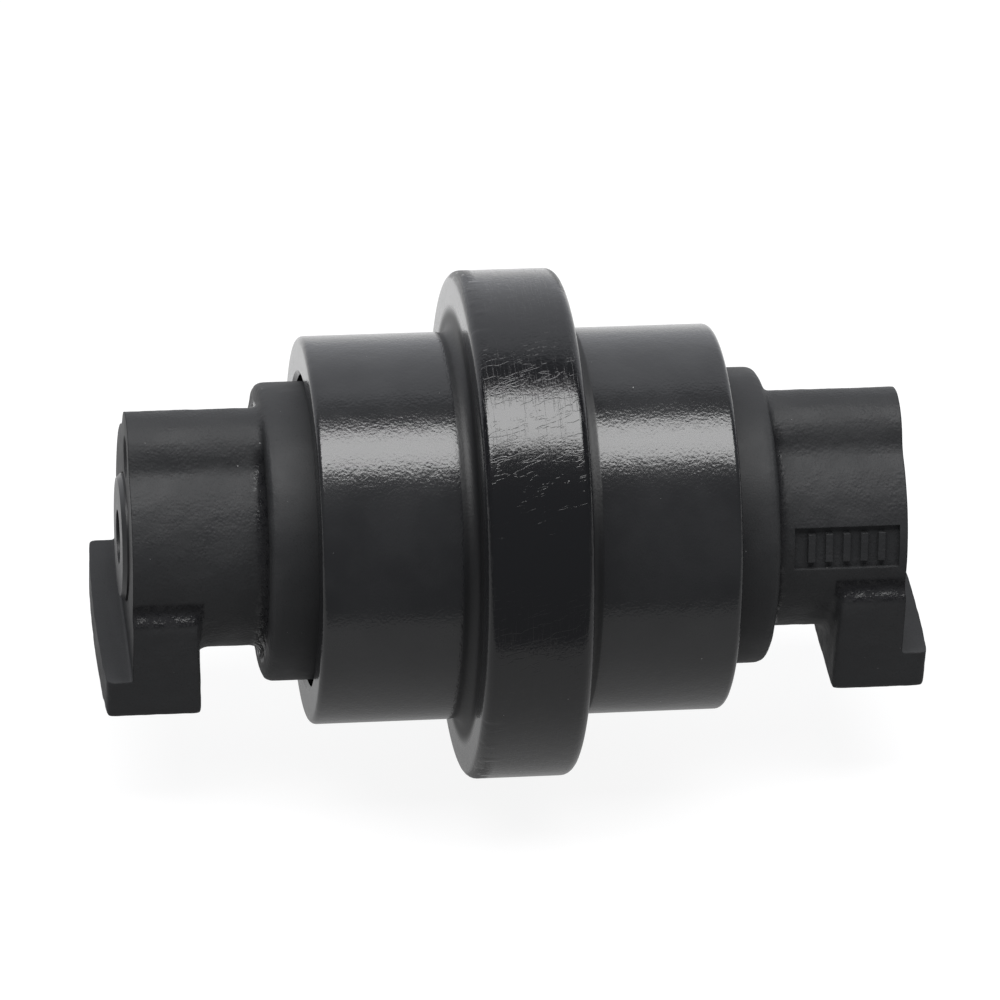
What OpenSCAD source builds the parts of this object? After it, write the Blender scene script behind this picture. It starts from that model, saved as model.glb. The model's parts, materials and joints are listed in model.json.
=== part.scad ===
// Track roller with one central guide flange, carried on a fixed shaft between two cast end collars.
// The shaft lies along Y, with the middle of the shell at the origin and +Z up.
// Every station called "at" is a distance from the middle of the shell, out along the shaft.

/* [Shell] */
// Length of the shell over its two end faces
shell_len = 114; // [100:1:140]
// Diameter of the two treads that the track links run on
tread_d = 106.6; // [100:0.2:130]
// Diameter of the central guide flange
flange_d = 140; // [132:1:180]
// Width of the central guide flange
flange_w = 29; // [18:1:34]
// Radius on the two outer corners of the flange
flange_corner_r = 3; // [1:0.5:4]
// Radius of the fillet between flange and tread
root_r = 3; // [2:0.5:6]
// Depth to which the fillet is cut below the tread
root_relief = 0.25; // [0.1:0.05:0.6]
// Radius on the outer corner at each end of the shell
rim_r = 1.8; // [0.5:0.1:3]
// Depth of the mouth at each end of the shell
mouth_depth = 7; // [5:0.5:9]
// Chamfer on the mouth's edge
mouth_chamfer = 1; // [0.5:0.1:1.5]
// Depth of the oil space into the shell, past the bushes' seats
oil_space_depth = 4; // [2:0.5:7]
// Length of the oil space between the two bushes
oil_space_len = 18; // [10:1:24]

/* [Bushes and thrust washers] */
// Wall of a bush
bush_wall = 3.5; // [2.5:0.25:4.5]
// Height of a bush's flange past its wall
bush_flange_h = 5; // [3:0.5:6]
// Thickness of a bush's flange
bush_flange_t = 3; // [2:0.25:4]
// Thickness of a thrust washer
washer_t = 2; // [1.5:0.25:3]
// Distance from a bush flange's edge in to a thrust washer's edge
washer_inset = 1; // [0.5:0.25:2]
// Chamfer on a bush's bore
bush_chamfer = 1; // [0.5:0.1:1.5]

/* [Face seals] */
// Diameter of the bore that holds a toric ring, in the shell and in each collar
seal_bore_d = 66; // [64:0.5:70]
// Height of the space that a toric ring fills, between its bore and its seat
toric_space = 4.5; // [3.5:0.1:5.5]
// Wall of a metal seal ring under its toric ring
seal_ring_wall = 3; // [2:0.25:3.5]
// Gap between a metal seal ring's lip and the bore round it
seal_lip_gap = 2; // [1:0.25:3]
// Length of a metal seal ring
seal_ring_len = 5.4; // [4.5:0.1:6]
// Length of the lip at a metal seal ring's face
seal_lip_len = 1.8; // [1:0.1:2.4]
// Depth of the relief inside a metal seal ring's face
seal_relief = 0.5; // [0.3:0.1:0.8]
// Squeeze on a toric ring, over the gap that it fills
toric_squeeze = 0.2; // [0.1:0.05:0.4]

/* [End collars] */
// Wall of the turned ring that enters the shell mouth, outside its seal bore
ring_wall = 8; // [5:0.25:10]
// Radius on the outboard corner of the turned ring
ring_r = 2.4; // [1:0.2:2.4]
// Distance that the turned ring stands out past the shell's end face
ring_proud = 12.5; // [8:0.5:16]
// Length of a collar from the turned ring to the machined end face
body_len = 36.5; // [30:0.5:45]
// Diameter of the round body about the shaft
body_d = 62; // [58:1:70]
// Radius of the fillet from turned ring to body
body_fillet_r = 3; // [1:0.5:4]
// Diameter of the bolt boss on top
boss_d = 24.8; // [22:0.2:28]
// Wall between the bolt hole and the shaft's bore
bolt_wall = 3.4; // [2.5:0.1:8]
// Radius of the valley between bolt boss and body
valley_r = 8; // [4:1:12]
// Fore and aft width of the foot at its underside
foot_w = 70; // [66:1:90]
// Height of the foot's underside below the shaft's centre
foot_bottom = 36.5; // [33:0.5:42]
// Height of the foot's top below the shaft's centre
foot_top = 6; // [3:0.5:8]
// Length of the foot at its underside, in from the machined end face
foot_len = 19; // [10:0.5:24]
// Lean of the foot's sides, which lets the casting leave its mould
foot_draft = 2; // [1:0.5:4]
// Radius of the fillet from body to the foot's top
foot_fillet_r = 4; // [2:0.5:5]
// Radius on the foot's corners
foot_corner_r = 1.5; // [1:0.5:3]
// Reach of the hook lip past the machined end face, at its middle
lip_reach = 8.3; // [6:0.1:10]
// Bow of the hook lip's outboard side, from its ends to its middle
lip_bow = 1.2; // [0.5:0.1:2]
// Thickness of the hook lip
lip_t = 12.1; // [9:0.1:14]
// Gap between a metal seal ring's bore and the spigot that reaches in to the thrust washer
spigot_gap = 1.5; // [0.75:0.25:2.5]

/* [Casting pad] */
// Margin at each end of the blank tally pocket on one side of each collar
tally_margin = 2.2; // [1.5:0.1:6]
// Height of the tally pocket
tally_h = 12; // [8:0.5:13]
// Depth of the tally pocket at its middle
tally_depth = 1.7; // [1.2:0.1:2.2]
// Angle of the tally pocket above the level of the shaft
tally_angle = 15; // [8:1:20]
// Count of plain ribs in the tally pocket
tally_ribs = 5; // [3:1:7]
// Width of a rib in the tally pocket
tally_rib_w = 2; // [1:0.5:3]
// Height of a rib above the pocket's floor
tally_rib_h = 1; // [0.5:0.1:1]

/* [Bolts and pins] */
// Wall diameter of the tapped hole in each bolt boss
bolt_hole_d = 10.2; // [8.5:0.1:12]
// Depth of the tapped hole, less its drill point
bolt_hole_depth = 26; // [20:1:30]
// Depth of the countersink at the tapped hole's mouth
bolt_sink = 1; // [0.5:0.25:2]
// Diameter of a lock pin
lock_pin_d = 8; // [6:0.5:9]
// Wall of the rolled lock pin
lock_pin_wall = 1.6; // [1.2:0.1:2]
// Width of the slot along the rolled lock pin
lock_pin_slot = 1.2; // [0.6:0.1:1.6]
// Distance of the lock pins out from the turned ring
lock_pin_out = 7.5; // [6.5:0.5:10]
// Depth to which a lock pin notches the side of the shaft
lock_pin_bite = 7.5; // [5:0.5:8]
// Depth of a lock pin's lower end inside its hole
lock_pin_recess = 2; // [1:0.5:4]

/* [Shaft] */
// Diameter of the shaft
shaft_d = 35; // [32:0.5:38]
// Distance that each shaft end stands proud of the machined end face
shaft_proud = 1.7; // [0.5:0.1:3]
// Chamfer on the shaft's ends
shaft_chamfer = 1.2; // [0.5:0.1:2]
// Diameter of the oil gallery
gallery_d = 7; // [5:0.5:8]
// Diameter of the cross hole that feeds the oil space
cross_hole_d = 6; // [4:0.5:8]
// Diameter of the oil plug
plug_d = 15; // [12:0.5:16]
// Length of the oil plug
plug_len = 9; // [6:0.5:12]
// Depth of the oil plug below the shaft's end
plug_recess = 1; // [0.5:0.1:2]
// Thickness of the plug's washer
plug_seal_t = 1; // [0.5:0.1:2]
// Width across the flats of the plug's key socket
plug_key = 7; // [5:0.5:8]
// Depth of the plug's key socket
plug_key_depth = 5; // [3:0.5:6]

/* [O-rings] */
// Thickness of the O-ring between shaft and collar
oring_t = 2.6; // [2:0.1:3.5]
// Squeeze on the O-ring, on the radius
oring_squeeze = 0.05; // [0.02:0.01:0.1]
// Wall between the seal bore and the O-ring's groove
oring_wall = 3.5; // [2:0.25:6]

/* [Clearances] */
// Running gap between shaft and bush, on the radius
run_gap = 0.05; // [0.02:0.01:0.1]
// Running gap between bush flange and thrust washer, and between the two seal faces
face_gap = 0.05; // [0.03:0.01:0.1]
// Snug gap between two pieces that stay together, on the radius
snug_gap = 0.02; // [0.01:0.01:0.04]
// Gap between the turned ring and the floor of the mouth
mouth_gap = 1; // [0.6:0.1:1.5]
// Gap between the turned ring and the side of the mouth
mouth_side_gap = 2; // [1:0.25:3]

/* [Hidden] */
$fn = 96;
eps = 0.01;
tread_r = tread_d / 2;
flange_r = flange_d / 2;
shell_half = shell_len / 2;
mouth_floor_at = shell_half - mouth_depth;
ring_inner_at = mouth_floor_at + mouth_gap;
ring_outer_at = shell_half + ring_proud;
end_face_at = ring_outer_at + body_len;
foot_inner_at = end_face_at - foot_len;
lip_at = end_face_at + lip_reach;
shaft_r = shaft_d / 2;
shaft_end_at = end_face_at + shaft_proud;
// The seal's face lies just inboard of the mouth's floor
seal_face_at = mouth_floor_at - 0.3;
seal_ring_back_at = seal_face_at - seal_ring_len;
seal_bore_r = seal_bore_d / 2;
seal_seat_r = seal_bore_r - toric_space;
seal_ring_bore_r = seal_seat_r - seal_ring_wall;
seal_lip_r = seal_bore_r - seal_lip_gap;
spigot_r = seal_ring_bore_r - spigot_gap;
ring_outside_r = seal_bore_r + ring_wall;
mouth_r = ring_outside_r + mouth_side_gap;
toric_r = (toric_space + toric_squeeze) / 2;
toric_mid_r = seal_bore_r - toric_space / 2;
// A toric ring stands clear of the lip of the ring that it loads
toric_back = seal_lip_len + toric_r + 0.1;
seal_pocket_end_at = seal_face_at + face_gap + toric_back + toric_r + 0.5;
bush_bore_r = shaft_r + run_gap;
bush_r = bush_bore_r + bush_wall;
bush_flange_r = bush_r + bush_flange_h;
// A thrust washer's edge follows the bush flange, and stays inside the toric ring where that is the nearer
washer_r = min(bush_flange_r - washer_inset, seal_seat_r - toric_squeeze - 0.6);
// The thrust washer keeps clear of the back of the rotating seal ring
washer_out_at = seal_ring_back_at - 0.6;
washer_in_at = washer_out_at - washer_t;
bush_face_at = washer_in_at - face_gap;
bush_seat_at = bush_face_at - bush_flange_t;
bush_inner_at = oil_space_len / 2;
collar_bore_r = shaft_r + snug_gap;
bolt_r = bolt_hole_d / 2;
boss_z = collar_bore_r + bolt_wall + bolt_r;
lock_pin_at = ring_outer_at + lock_pin_out;
lock_hole_r = lock_pin_d / 2 + snug_gap;
lock_x = shaft_r + lock_hole_r - lock_pin_bite;
lock_mouth_z = -sqrt(pow(body_d / 2, 2) - pow(lock_x + lock_hole_r, 2));
lock_top_z = 10;
lock_bottom_z = lock_mouth_z + lock_pin_recess;
oring_half_w = oring_t * 0.65;
oring_at = seal_pocket_end_at + oring_wall + oring_half_w;
plug_bore_r = plug_d / 2 + snug_gap;
// Each fillet is as large as its wall allows, and beside the foot's a narrow flat is left
root_fillet_r = min(root_r, flange_r - tread_r - flange_corner_r);
flange_half_w = flange_w / 2;
root_mid_r = tread_r - root_relief + root_fillet_r;
root_mid_at = flange_half_w + root_fillet_r;
rim_fillet_r = min(rim_r, tread_r - mouth_r - mouth_chamfer);
foot_flat = 0.3;
foot_flat_half = foot_w / 2 - foot_corner_r - foot_flat - (foot_bottom - foot_top) * tan(foot_draft);
foot_wall_r = (pow(foot_flat_half, 2) + pow(foot_top, 2) - pow(body_d / 2, 2)) / (body_d + 2 * foot_top);
foot_rise_r = min(foot_fillet_r, foot_wall_r);

// The right-hand side is drawn along +Y, and the left-hand side is the same turned end for end
module right_side() {
    children();
}

module left_side() {
    rotate([0, 0, 180]) children();
}

// Revolves a profile of radius and station about the shaft's line
module about_shaft() {
    rotate([-90, 0, 0]) rotate_extrude($fn = 128) children();
}

// A rectangle of radius r0 to r1 and station a0 to a1
module band(r0, r1, a0, a1) {
    translate([r0, a0]) square([r1 - r0, a1 - a0]);
}

// Extrudes an outline seen along the shaft, from station a0 to a1
module along_shaft(a0, a1) {
    translate([0, a1, 0]) rotate([90, 0, 0]) linear_extrude(a1 - a0) children();
}

// A round bar along the shaft's line
module bar_along(r, a0, a1) {
    translate([0, a0, 0]) rotate([-90, 0, 0]) cylinder(h = a1 - a0, r = r);
}

// Takes the corner off a profile: the part of a square of side r that lies outside a circle in it
module corner_cut(r) {
    difference() {
        translate([-eps, -eps]) square(r + 2 * eps);
        circle(r);
    }
}

// Takes a corner off a profile: a square on its point, c along each side from the corner
module chamfer_cut(c) {
    rotate(45) square(c * sqrt(2), center = true);
}

// ---- Shell ----

module tread_profile() {
    difference() {
        band(bush_r - eps, tread_r, 0, shell_half);
        translate([tread_r - rim_fillet_r, shell_half - rim_fillet_r]) corner_cut(rim_fillet_r);
    }
}

module flange_profile() {
    difference() {
        union() {
            band(bush_r - eps, flange_r, 0, flange_half_w);
            band(bush_r - eps, root_mid_r, 0, root_mid_at);
        }
        translate([flange_r - flange_corner_r, flange_half_w - flange_corner_r])
            corner_cut(flange_corner_r);
    }
}

module shell_half_profile() {
    difference() {
        union() {
            tread_profile();
            flange_profile();
        }
        // the root fillet dips below the tread, and meets it in a crease
        translate([root_mid_r, root_mid_at]) circle(root_fillet_r);
        // bore for the bush, oil space, seal bore and mouth
        band(0, bush_r + snug_gap, -1, shell_len);
        band(0, bush_r + oil_space_depth, -1, bush_inner_at);
        band(0, seal_bore_r, bush_seat_at, shell_len);
        band(0, mouth_r, mouth_floor_at, shell_len);
        translate([mouth_r, shell_half]) chamfer_cut(mouth_chamfer);
    }
}

module roller_shell() {
    color([0.09, 0.09, 0.1]) about_shaft() {
        shell_half_profile();
        mirror([0, 1]) shell_half_profile();
    }
}

// ---- Bush and thrust washer ----

module bush() {
    color([0.66, 0.48, 0.24]) about_shaft() difference() {
        union() {
            band(bush_bore_r, bush_r, bush_inner_at, bush_face_at);
            band(bush_bore_r, bush_flange_r, bush_seat_at, bush_face_at);
        }
        // oil chamfer at each end of the bore
        translate([bush_bore_r, bush_inner_at]) chamfer_cut(bush_chamfer);
        translate([bush_bore_r, bush_face_at]) chamfer_cut(bush_chamfer);
    }
}

module thrust_washer() {
    color([0.62, 0.63, 0.66]) about_shaft()
        band(collar_bore_r, washer_r, washer_in_at, washer_out_at);
}

// ---- Face seals ----

// The profile of a metal seal ring whose face is at station 0, reaching in to negative stations
module seal_ring_profile() {
    difference() {
        union() {
            band(seal_ring_bore_r, seal_seat_r, -seal_ring_len, 0);
            band(seal_ring_bore_r, seal_lip_r, -seal_lip_len, 0);
        }
        // relief inside the face, so that only the outer band runs
        band(0, (seal_ring_bore_r + seal_seat_r) / 2, -seal_relief, 1);
    }
}

module rotating_seal_ring() {
    color([0.5, 0.51, 0.53]) about_shaft()
        translate([0, seal_face_at]) seal_ring_profile();
}

module fixed_seal_ring() {
    color([0.5, 0.51, 0.53]) about_shaft()
        translate([0, seal_face_at + face_gap]) mirror([0, 1]) seal_ring_profile();
}

module rotating_toric() {
    color([0.07, 0.07, 0.07]) about_shaft()
        translate([toric_mid_r, seal_face_at - toric_back]) circle(toric_r, $fn = 48);
}

module fixed_toric() {
    color([0.07, 0.07, 0.07]) about_shaft()
        translate([toric_mid_r, seal_face_at + face_gap + toric_back]) circle(toric_r, $fn = 48);
}

// ---- End collar ----

// Fills the valley between two circles, of radius ra about the origin and rb about [0, zb],
// with a concave arc of radius f on the side of positive x
module valley_fill(ra, rb, zb, f) {
    cz = (pow(ra + f, 2) - pow(rb + f, 2) + zb * zb) / (2 * zb);
    cx = sqrt(pow(ra + f, 2) - cz * cz);
    difference() {
        polygon([[0, 0], [cx, cz], [0, zb]]);
        translate([cx, cz]) circle(f);
    }
}

// Fills the corner between a circle of radius ra about the origin and a level line at z = zt
module shelf_fill(ra, zt, f) {
    cz = zt + f;
    cx = sqrt(pow(ra + f, 2) - cz * cz);
    difference() {
        polygon([[0, 0], [cx, cz], [cx, zt], [0, zt]]);
        translate([cx, cz]) circle(f);
    }
}

module both_hands() {
    children();
    mirror([1, 0]) children();
}

// A box about x = 0 with four round corners, of half width half_w at z0, its sides leaning in
// towards the top by the draft
module leaning_box(half_w, z0, z1, r) {
    lean = foot_draft;
    low_x = half_w - r * (1 + sin(lean)) / cos(lean);
    high_x = half_w - (r + (z1 - r - z0) * sin(lean)) / cos(lean);
    out = r * cos(lean);
    rise = r * sin(lean);
    both_hands() {
        polygon([[0, z0], [low_x, z0], [low_x + out, z0 + r + rise], [high_x + out, z1 - r + rise],
                 [high_x, z1], [0, z1]]);
        translate([low_x, z0 + r]) circle(r, $fn = 48);
        translate([high_x, z1 - r]) circle(r, $fn = 48);
    }
}

module body_outline() {
    circle(body_d / 2);
    translate([0, boss_z]) circle(boss_d / 2);
    both_hands() valley_fill(body_d / 2, boss_d / 2, boss_z, valley_r);
}

module foot_outline() {
    leaning_box(foot_w / 2, -foot_bottom, -foot_top, foot_corner_r);
    if (foot_rise_r > 0)
        both_hands() shelf_fill(body_d / 2, -foot_top, foot_rise_r);
}

// The foot under the body, its inboard side leaning like its other sides
module foot_block() {
    difference() {
        along_shaft(foot_inner_at, end_face_at) foot_outline();
        translate([0, foot_inner_at, -foot_bottom]) rotate([-foot_draft, 0, 0])
            translate([-foot_w, -foot_w, -foot_bottom]) cube([2 * foot_w, foot_w, 3 * foot_bottom]);
    }
}

// The lip of the hook, level on top, with its outboard side bowed in flats along a gentle arc
module hook_lip() {
    root_at = end_face_at - foot_corner_r;
    half_w = foot_w / 2;
    flats = 8;
    bow = [for (i = [0:flats]) let (x = half_w * (2 * i / flats - 1))
           [x, lip_at - lip_bow * pow(x / half_w, 2)]];
    difference() {
        along_shaft(root_at, lip_at + 1) foot_outline();
        translate([-foot_w, root_at - 1, lip_t - foot_bottom]) cube([2 * foot_w, body_d, body_d]);
        translate([0, 0, -foot_bottom - 1]) linear_extrude(lip_t + 2)
            polygon(concat([[-foot_w, lip_at - lip_bow]], bow,
                           [[foot_w, lip_at - lip_bow], [foot_w, lip_at + 2], [-foot_w, lip_at + 2]]));
    }
}

// The turned parts: the ring, its seal bore's wall, and the fillet out to the body
module collar_turned_profile() {
    body_r = body_d / 2;
    difference() {
        union() {
            band(0, ring_outside_r, ring_inner_at, ring_outer_at);
            band(0, body_r + body_fillet_r, ring_outer_at - eps, ring_outer_at + body_fillet_r);
        }
        translate([body_r + body_fillet_r, ring_outer_at + body_fillet_r]) circle(body_fillet_r);
        translate([ring_outside_r - ring_r, ring_outer_at - ring_r]) corner_cut(ring_r);
        translate([ring_outside_r, ring_inner_at]) chamfer_cut(mouth_chamfer);
    }
}

module collar_solid() {
    about_shaft() {
        collar_turned_profile();
        band(0, spigot_r, washer_out_at, ring_outer_at);
    }
    along_shaft(ring_outer_at - 2, end_face_at) body_outline();
    foot_block();
    hook_lip();
}

// The seal bore is an annular pocket round the spigot, open towards the shell
module collar_seal_pocket() {
    about_shaft() band(spigot_r, seal_bore_r, ring_inner_at - 1, seal_pocket_end_at);
}

module oring_groove() {
    groove_r = shaft_r + oring_t - 2 * oring_squeeze;
    about_shaft() band(shaft_r - 1, groove_r, oring_at - oring_half_w, oring_at + oring_half_w);
}

module bolt_hole() {
    floor_at = end_face_at - bolt_hole_depth;
    point_len = bolt_r * 0.6;
    translate([0, 0, boss_z]) {
        bar_along(bolt_r, floor_at, end_face_at + 1);
        // drill point, then the countersink
        translate([0, floor_at - point_len, 0]) rotate([-90, 0, 0])
            cylinder(h = point_len + eps, r1 = 0.2, r2 = bolt_r);
        translate([0, end_face_at - bolt_sink, 0]) rotate([-90, 0, 0])
            cylinder(h = bolt_sink + eps, r1 = bolt_r, r2 = bolt_r + bolt_sink);
    }
}

module lock_pin_hole() {
    translate([-lock_x, lock_pin_at, -body_d]) cylinder(h = body_d + lock_top_z, r = lock_hole_r);
}

// The tally pocket lies flat across the body's round side, with plain ribs standing in it
module tally_pocket() {
    floor_r = body_d / 2 - tally_depth;
    from_at = ring_outer_at + body_fillet_r + tally_margin;
    pocket_len = end_face_at - tally_margin - from_at;
    pitch = pocket_len / (tally_ribs + 1);
    rib_room = 2;
    rotate([0, -tally_angle, 0]) difference() {
        translate([floor_r, from_at, -tally_h / 2]) cube([body_d, pocket_len, tally_h]);
        for (i = [1:tally_ribs])
            translate([floor_r - 1, from_at + i * pitch - tally_rib_w / 2, rib_room - tally_h / 2])
                cube([1 + tally_rib_h, tally_rib_w, tally_h - 2 * rib_room]);
    }
}

module end_collar() {
    color([0.11, 0.11, 0.12]) difference() {
        collar_solid();
        bar_along(collar_bore_r, 0, lip_at + 1);
        collar_seal_pocket();
        oring_groove();
        bolt_hole();
        lock_pin_hole();
        tally_pocket();
    }
}

// ---- Shaft, plug and pins ----

module shaft_profile() {
    difference() {
        band(0, shaft_r, -shaft_end_at, shaft_end_at);
        for (s = [-1, 1])
            polygon([[shaft_r - shaft_chamfer, s * shaft_end_at], [shaft_r + 1, s * shaft_end_at],
                     [shaft_r + 1, s * (shaft_end_at - shaft_chamfer - 1)]]);
    }
}

// Bores along the shaft from its left end: the plug's seat, the gallery, and the cross hole
module oil_way() {
    seat_at = shaft_end_at - plug_recess - plug_len - plug_seal_t;
    bar_along(plug_bore_r, -shaft_end_at - 1, -seat_at);
    bar_along(gallery_d / 2, -seat_at - 1, cross_hole_d);
    translate([0, 0, -shaft_d]) cylinder(h = 2 * shaft_d, d = cross_hole_d);
}

// The lathe centre's hole in the right-hand end
module centre_hole() {
    depth = shaft_r * 0.3;
    translate([0, shaft_end_at - depth, 0]) rotate([-90, 0, 0])
        cylinder(h = depth + eps, r1 = 1, r2 = shaft_r * 0.25);
}

module shaft() {
    color([0.42, 0.43, 0.45]) difference() {
        about_shaft() shaft_profile();
        oil_way();
        centre_hole();
        right_side() lock_pin_hole();
        left_side() lock_pin_hole();
    }
}

module lock_pin() {
    pin_len = lock_top_z - lock_bottom_z - 1;
    color([0.36, 0.37, 0.39]) translate([-lock_x, lock_pin_at, lock_bottom_z]) difference() {
        cylinder(h = pin_len, d = lock_pin_d);
        translate([0, 0, -1]) cylinder(h = pin_len + 2, r = lock_pin_d / 2 - lock_pin_wall);
        translate([-lock_pin_slot / 2, 0, -1]) cube([lock_pin_slot, lock_pin_d, pin_len + 2]);
    }
}

module shaft_oring() {
    color([0.07, 0.07, 0.07]) about_shaft()
        translate([shaft_r + oring_t / 2 - oring_squeeze, oring_at]) circle(oring_t / 2, $fn = 48);
}

module oil_plug() {
    out_at = shaft_end_at - plug_recess;
    color([0.2, 0.2, 0.21]) difference() {
        bar_along(plug_d / 2, -out_at, -out_at + plug_len);
        translate([0, -out_at - 1, 0]) rotate([-90, 0, 0])
            cylinder(h = plug_key_depth + 1, d = plug_key / cos(30), $fn = 6);
    }
}

module plug_seal() {
    out_at = shaft_end_at - plug_recess - plug_len;
    color([0.72, 0.42, 0.26]) difference() {
        bar_along(plug_d / 2, -out_at, -out_at + plug_seal_t);
        bar_along(gallery_d / 2, -out_at - 1, -out_at + plug_seal_t + 1);
    }
}

roller_shell();
shaft();
left_side() end_collar();  // left_end_collar
right_side() end_collar();  // right_end_collar
left_side() bush();  // left_bush
right_side() bush();  // right_bush
left_side() thrust_washer();  // left_thrust_washer
right_side() thrust_washer();  // right_thrust_washer
left_side() rotating_seal_ring();  // left_rotating_seal_ring
right_side() rotating_seal_ring();  // right_rotating_seal_ring
left_side() fixed_seal_ring();  // left_fixed_seal_ring
right_side() fixed_seal_ring();  // right_fixed_seal_ring
left_side() rotating_toric();  // left_rotating_toric
right_side() rotating_toric();  // right_rotating_toric
left_side() fixed_toric();  // left_fixed_toric
right_side() fixed_toric();  // right_fixed_toric
left_side() shaft_oring();  // left_shaft_oring
right_side() shaft_oring();  // right_shaft_oring
left_side() lock_pin();  // left_lock_pin
right_side() lock_pin();  // right_lock_pin
oil_plug();
plug_seal();
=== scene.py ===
# %% [markdown]
# # A track roller in black paint
# A track roller carries a small excavator on its track. A steel shell with two treads and a wide guide
# flange turns on a fixed shaft, between two iron castings that hook on to the track frame.
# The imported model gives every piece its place. This lesson paints them, and models again the pieces
# whose skin matters most: the turned shell, and the two castings with their soft foundry edges.

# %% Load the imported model
import bmesh
import bpy
import json
import math
import random
from mathutils import Matrix, Vector


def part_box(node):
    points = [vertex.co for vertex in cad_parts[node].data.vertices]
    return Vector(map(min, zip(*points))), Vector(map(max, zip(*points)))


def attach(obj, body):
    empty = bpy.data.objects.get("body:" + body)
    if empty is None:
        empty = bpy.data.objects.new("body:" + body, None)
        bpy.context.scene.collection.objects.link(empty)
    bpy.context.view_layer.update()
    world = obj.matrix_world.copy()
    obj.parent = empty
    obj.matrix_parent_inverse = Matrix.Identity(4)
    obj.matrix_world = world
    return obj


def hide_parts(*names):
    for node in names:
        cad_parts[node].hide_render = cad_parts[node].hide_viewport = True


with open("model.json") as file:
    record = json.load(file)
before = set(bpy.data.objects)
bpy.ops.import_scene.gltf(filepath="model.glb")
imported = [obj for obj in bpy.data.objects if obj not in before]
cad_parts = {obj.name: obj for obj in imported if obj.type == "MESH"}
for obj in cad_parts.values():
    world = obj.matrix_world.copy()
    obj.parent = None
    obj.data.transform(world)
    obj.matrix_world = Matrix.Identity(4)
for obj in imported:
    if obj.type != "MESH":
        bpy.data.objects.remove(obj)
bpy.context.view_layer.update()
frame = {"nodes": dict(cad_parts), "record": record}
MM = 0.001

# %% [markdown]
# ## The camera
# A long lens from nearly two metres away keeps the treads' edges almost parallel, as on a product picture.
# The camera stands to the front and above, a little towards the left-hand end, and is rolled slightly.
# Its place is worked out from angles, so that one number at a time can be tuned.

# %% Camera
CAMERA_AZIMUTH = 81.4
CAMERA_ELEVATION = 33.7
CAMERA_ROLL = 2.8
CAMERA_DISTANCE = 1.8
CAMERA_REACH = 20
PICTURE_PER_METRE = 3628
PICTURE_WIDTH = 1000
SENSOR_MM = 36
AIM_RIGHT = -8.4
AIM_UP = 23.0


def camera_axes(azimuth, elevation, roll):
    """The camera's right, up and back directions, from angles in degrees."""
    az, el, ro = (math.radians(a) for a in (azimuth, elevation, roll))
    back = Vector((math.sin(az) * math.cos(el), -math.cos(az) * math.cos(el), math.sin(el)))
    right = Vector((math.cos(az), math.sin(az), 0))
    up = back.cross(right)
    return (right * math.cos(ro) + up * math.sin(ro), up * math.cos(ro) - right * math.sin(ro), back)


def make_camera():
    right, up, back = camera_axes(CAMERA_AZIMUTH, CAMERA_ELEVATION, CAMERA_ROLL)
    focal = PICTURE_PER_METRE * CAMERA_DISTANCE
    aim = (right * AIM_RIGHT + up * AIM_UP) / PICTURE_PER_METRE
    data = bpy.data.cameras.new("camera")
    data.sensor_width = SENSOR_MM
    data.lens = focal / PICTURE_WIDTH * SENSOR_MM
    data.clip_end = CAMERA_REACH
    camera = bpy.data.objects.new("camera", data)
    bpy.context.scene.collection.objects.link(camera)
    turn = Matrix((right, up, back)).transposed().to_4x4()
    camera.matrix_world = Matrix.Translation(aim + back * CAMERA_DISTANCE) @ turn
    return camera


bpy.context.scene.camera = make_camera()
bpy.context.scene.view_settings.view_transform = "Standard"
print("lens:", round(bpy.context.scene.camera.data.lens, 1), "mm")

# %% [markdown]
# ## Small helpers
# Operators act on whatever is selected, and the loaded nodes start out selected. So each step clears the
# selection first, and then picks faces, edges or points by where they are.

# %% Selection helpers


def start_clean():
    """Object mode with nothing selected."""
    if bpy.context.object and bpy.context.object.mode != "OBJECT":
        bpy.ops.object.mode_set(mode="OBJECT")
    bpy.ops.object.select_all(action="DESELECT")


def only(piece):
    """Selects one piece and makes it the active one."""
    start_clean()
    piece.select_set(True)
    bpy.context.view_layer.objects.active = piece


def pick(piece, kind, test):
    """In edit mode, selects the points, edges or faces whose middle passes the test."""
    bpy.ops.mesh.select_mode(type=kind)
    bpy.ops.mesh.select_all(action="DESELECT")
    mesh = bmesh.from_edit_mesh(piece.data)
    if kind == "VERT":
        found = [v for v in mesh.verts if test(v.co)]
    elif kind == "EDGE":
        found = [e for e in mesh.edges if all(test(v.co) for v in e.verts)]
    else:
        found = [f for f in mesh.faces if test(f.calc_center_median())]
    for part in found:
        part.select = True
    mesh.select_flush_mode()
    bmesh.update_edit_mesh(piece.data)
    return len(found)


def close_up(piece, gap=0.01 * MM):
    """Merges doubled points and turns every face outwards, then leaves edit mode."""
    bpy.ops.mesh.select_mode(type="VERT")
    bpy.ops.mesh.select_all(action="SELECT")
    bpy.ops.mesh.remove_doubles(threshold=gap)
    bpy.ops.mesh.normals_make_consistent(inside=False)
    bpy.ops.object.mode_set(mode="OBJECT")
    return piece


def settle(piece):
    """Puts a piece's place into its mesh, with its object at the origin."""
    only(piece)
    bpy.ops.object.transform_apply(location=True, rotation=True, scale=True)
    return piece


def add_modifier(piece, kind, **values):
    """Adds a modifier, sets its values and applies it."""
    only(piece)
    modifier = piece.modifiers.new(kind.lower(), kind)
    for name, value in values.items():
        setattr(modifier, name, value)
    bpy.ops.object.modifier_apply(modifier=modifier.name)
    return piece


def off_axis(point):
    """Distance of a point from the shaft's centre line."""
    return math.hypot(point.x, point.z)


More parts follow.
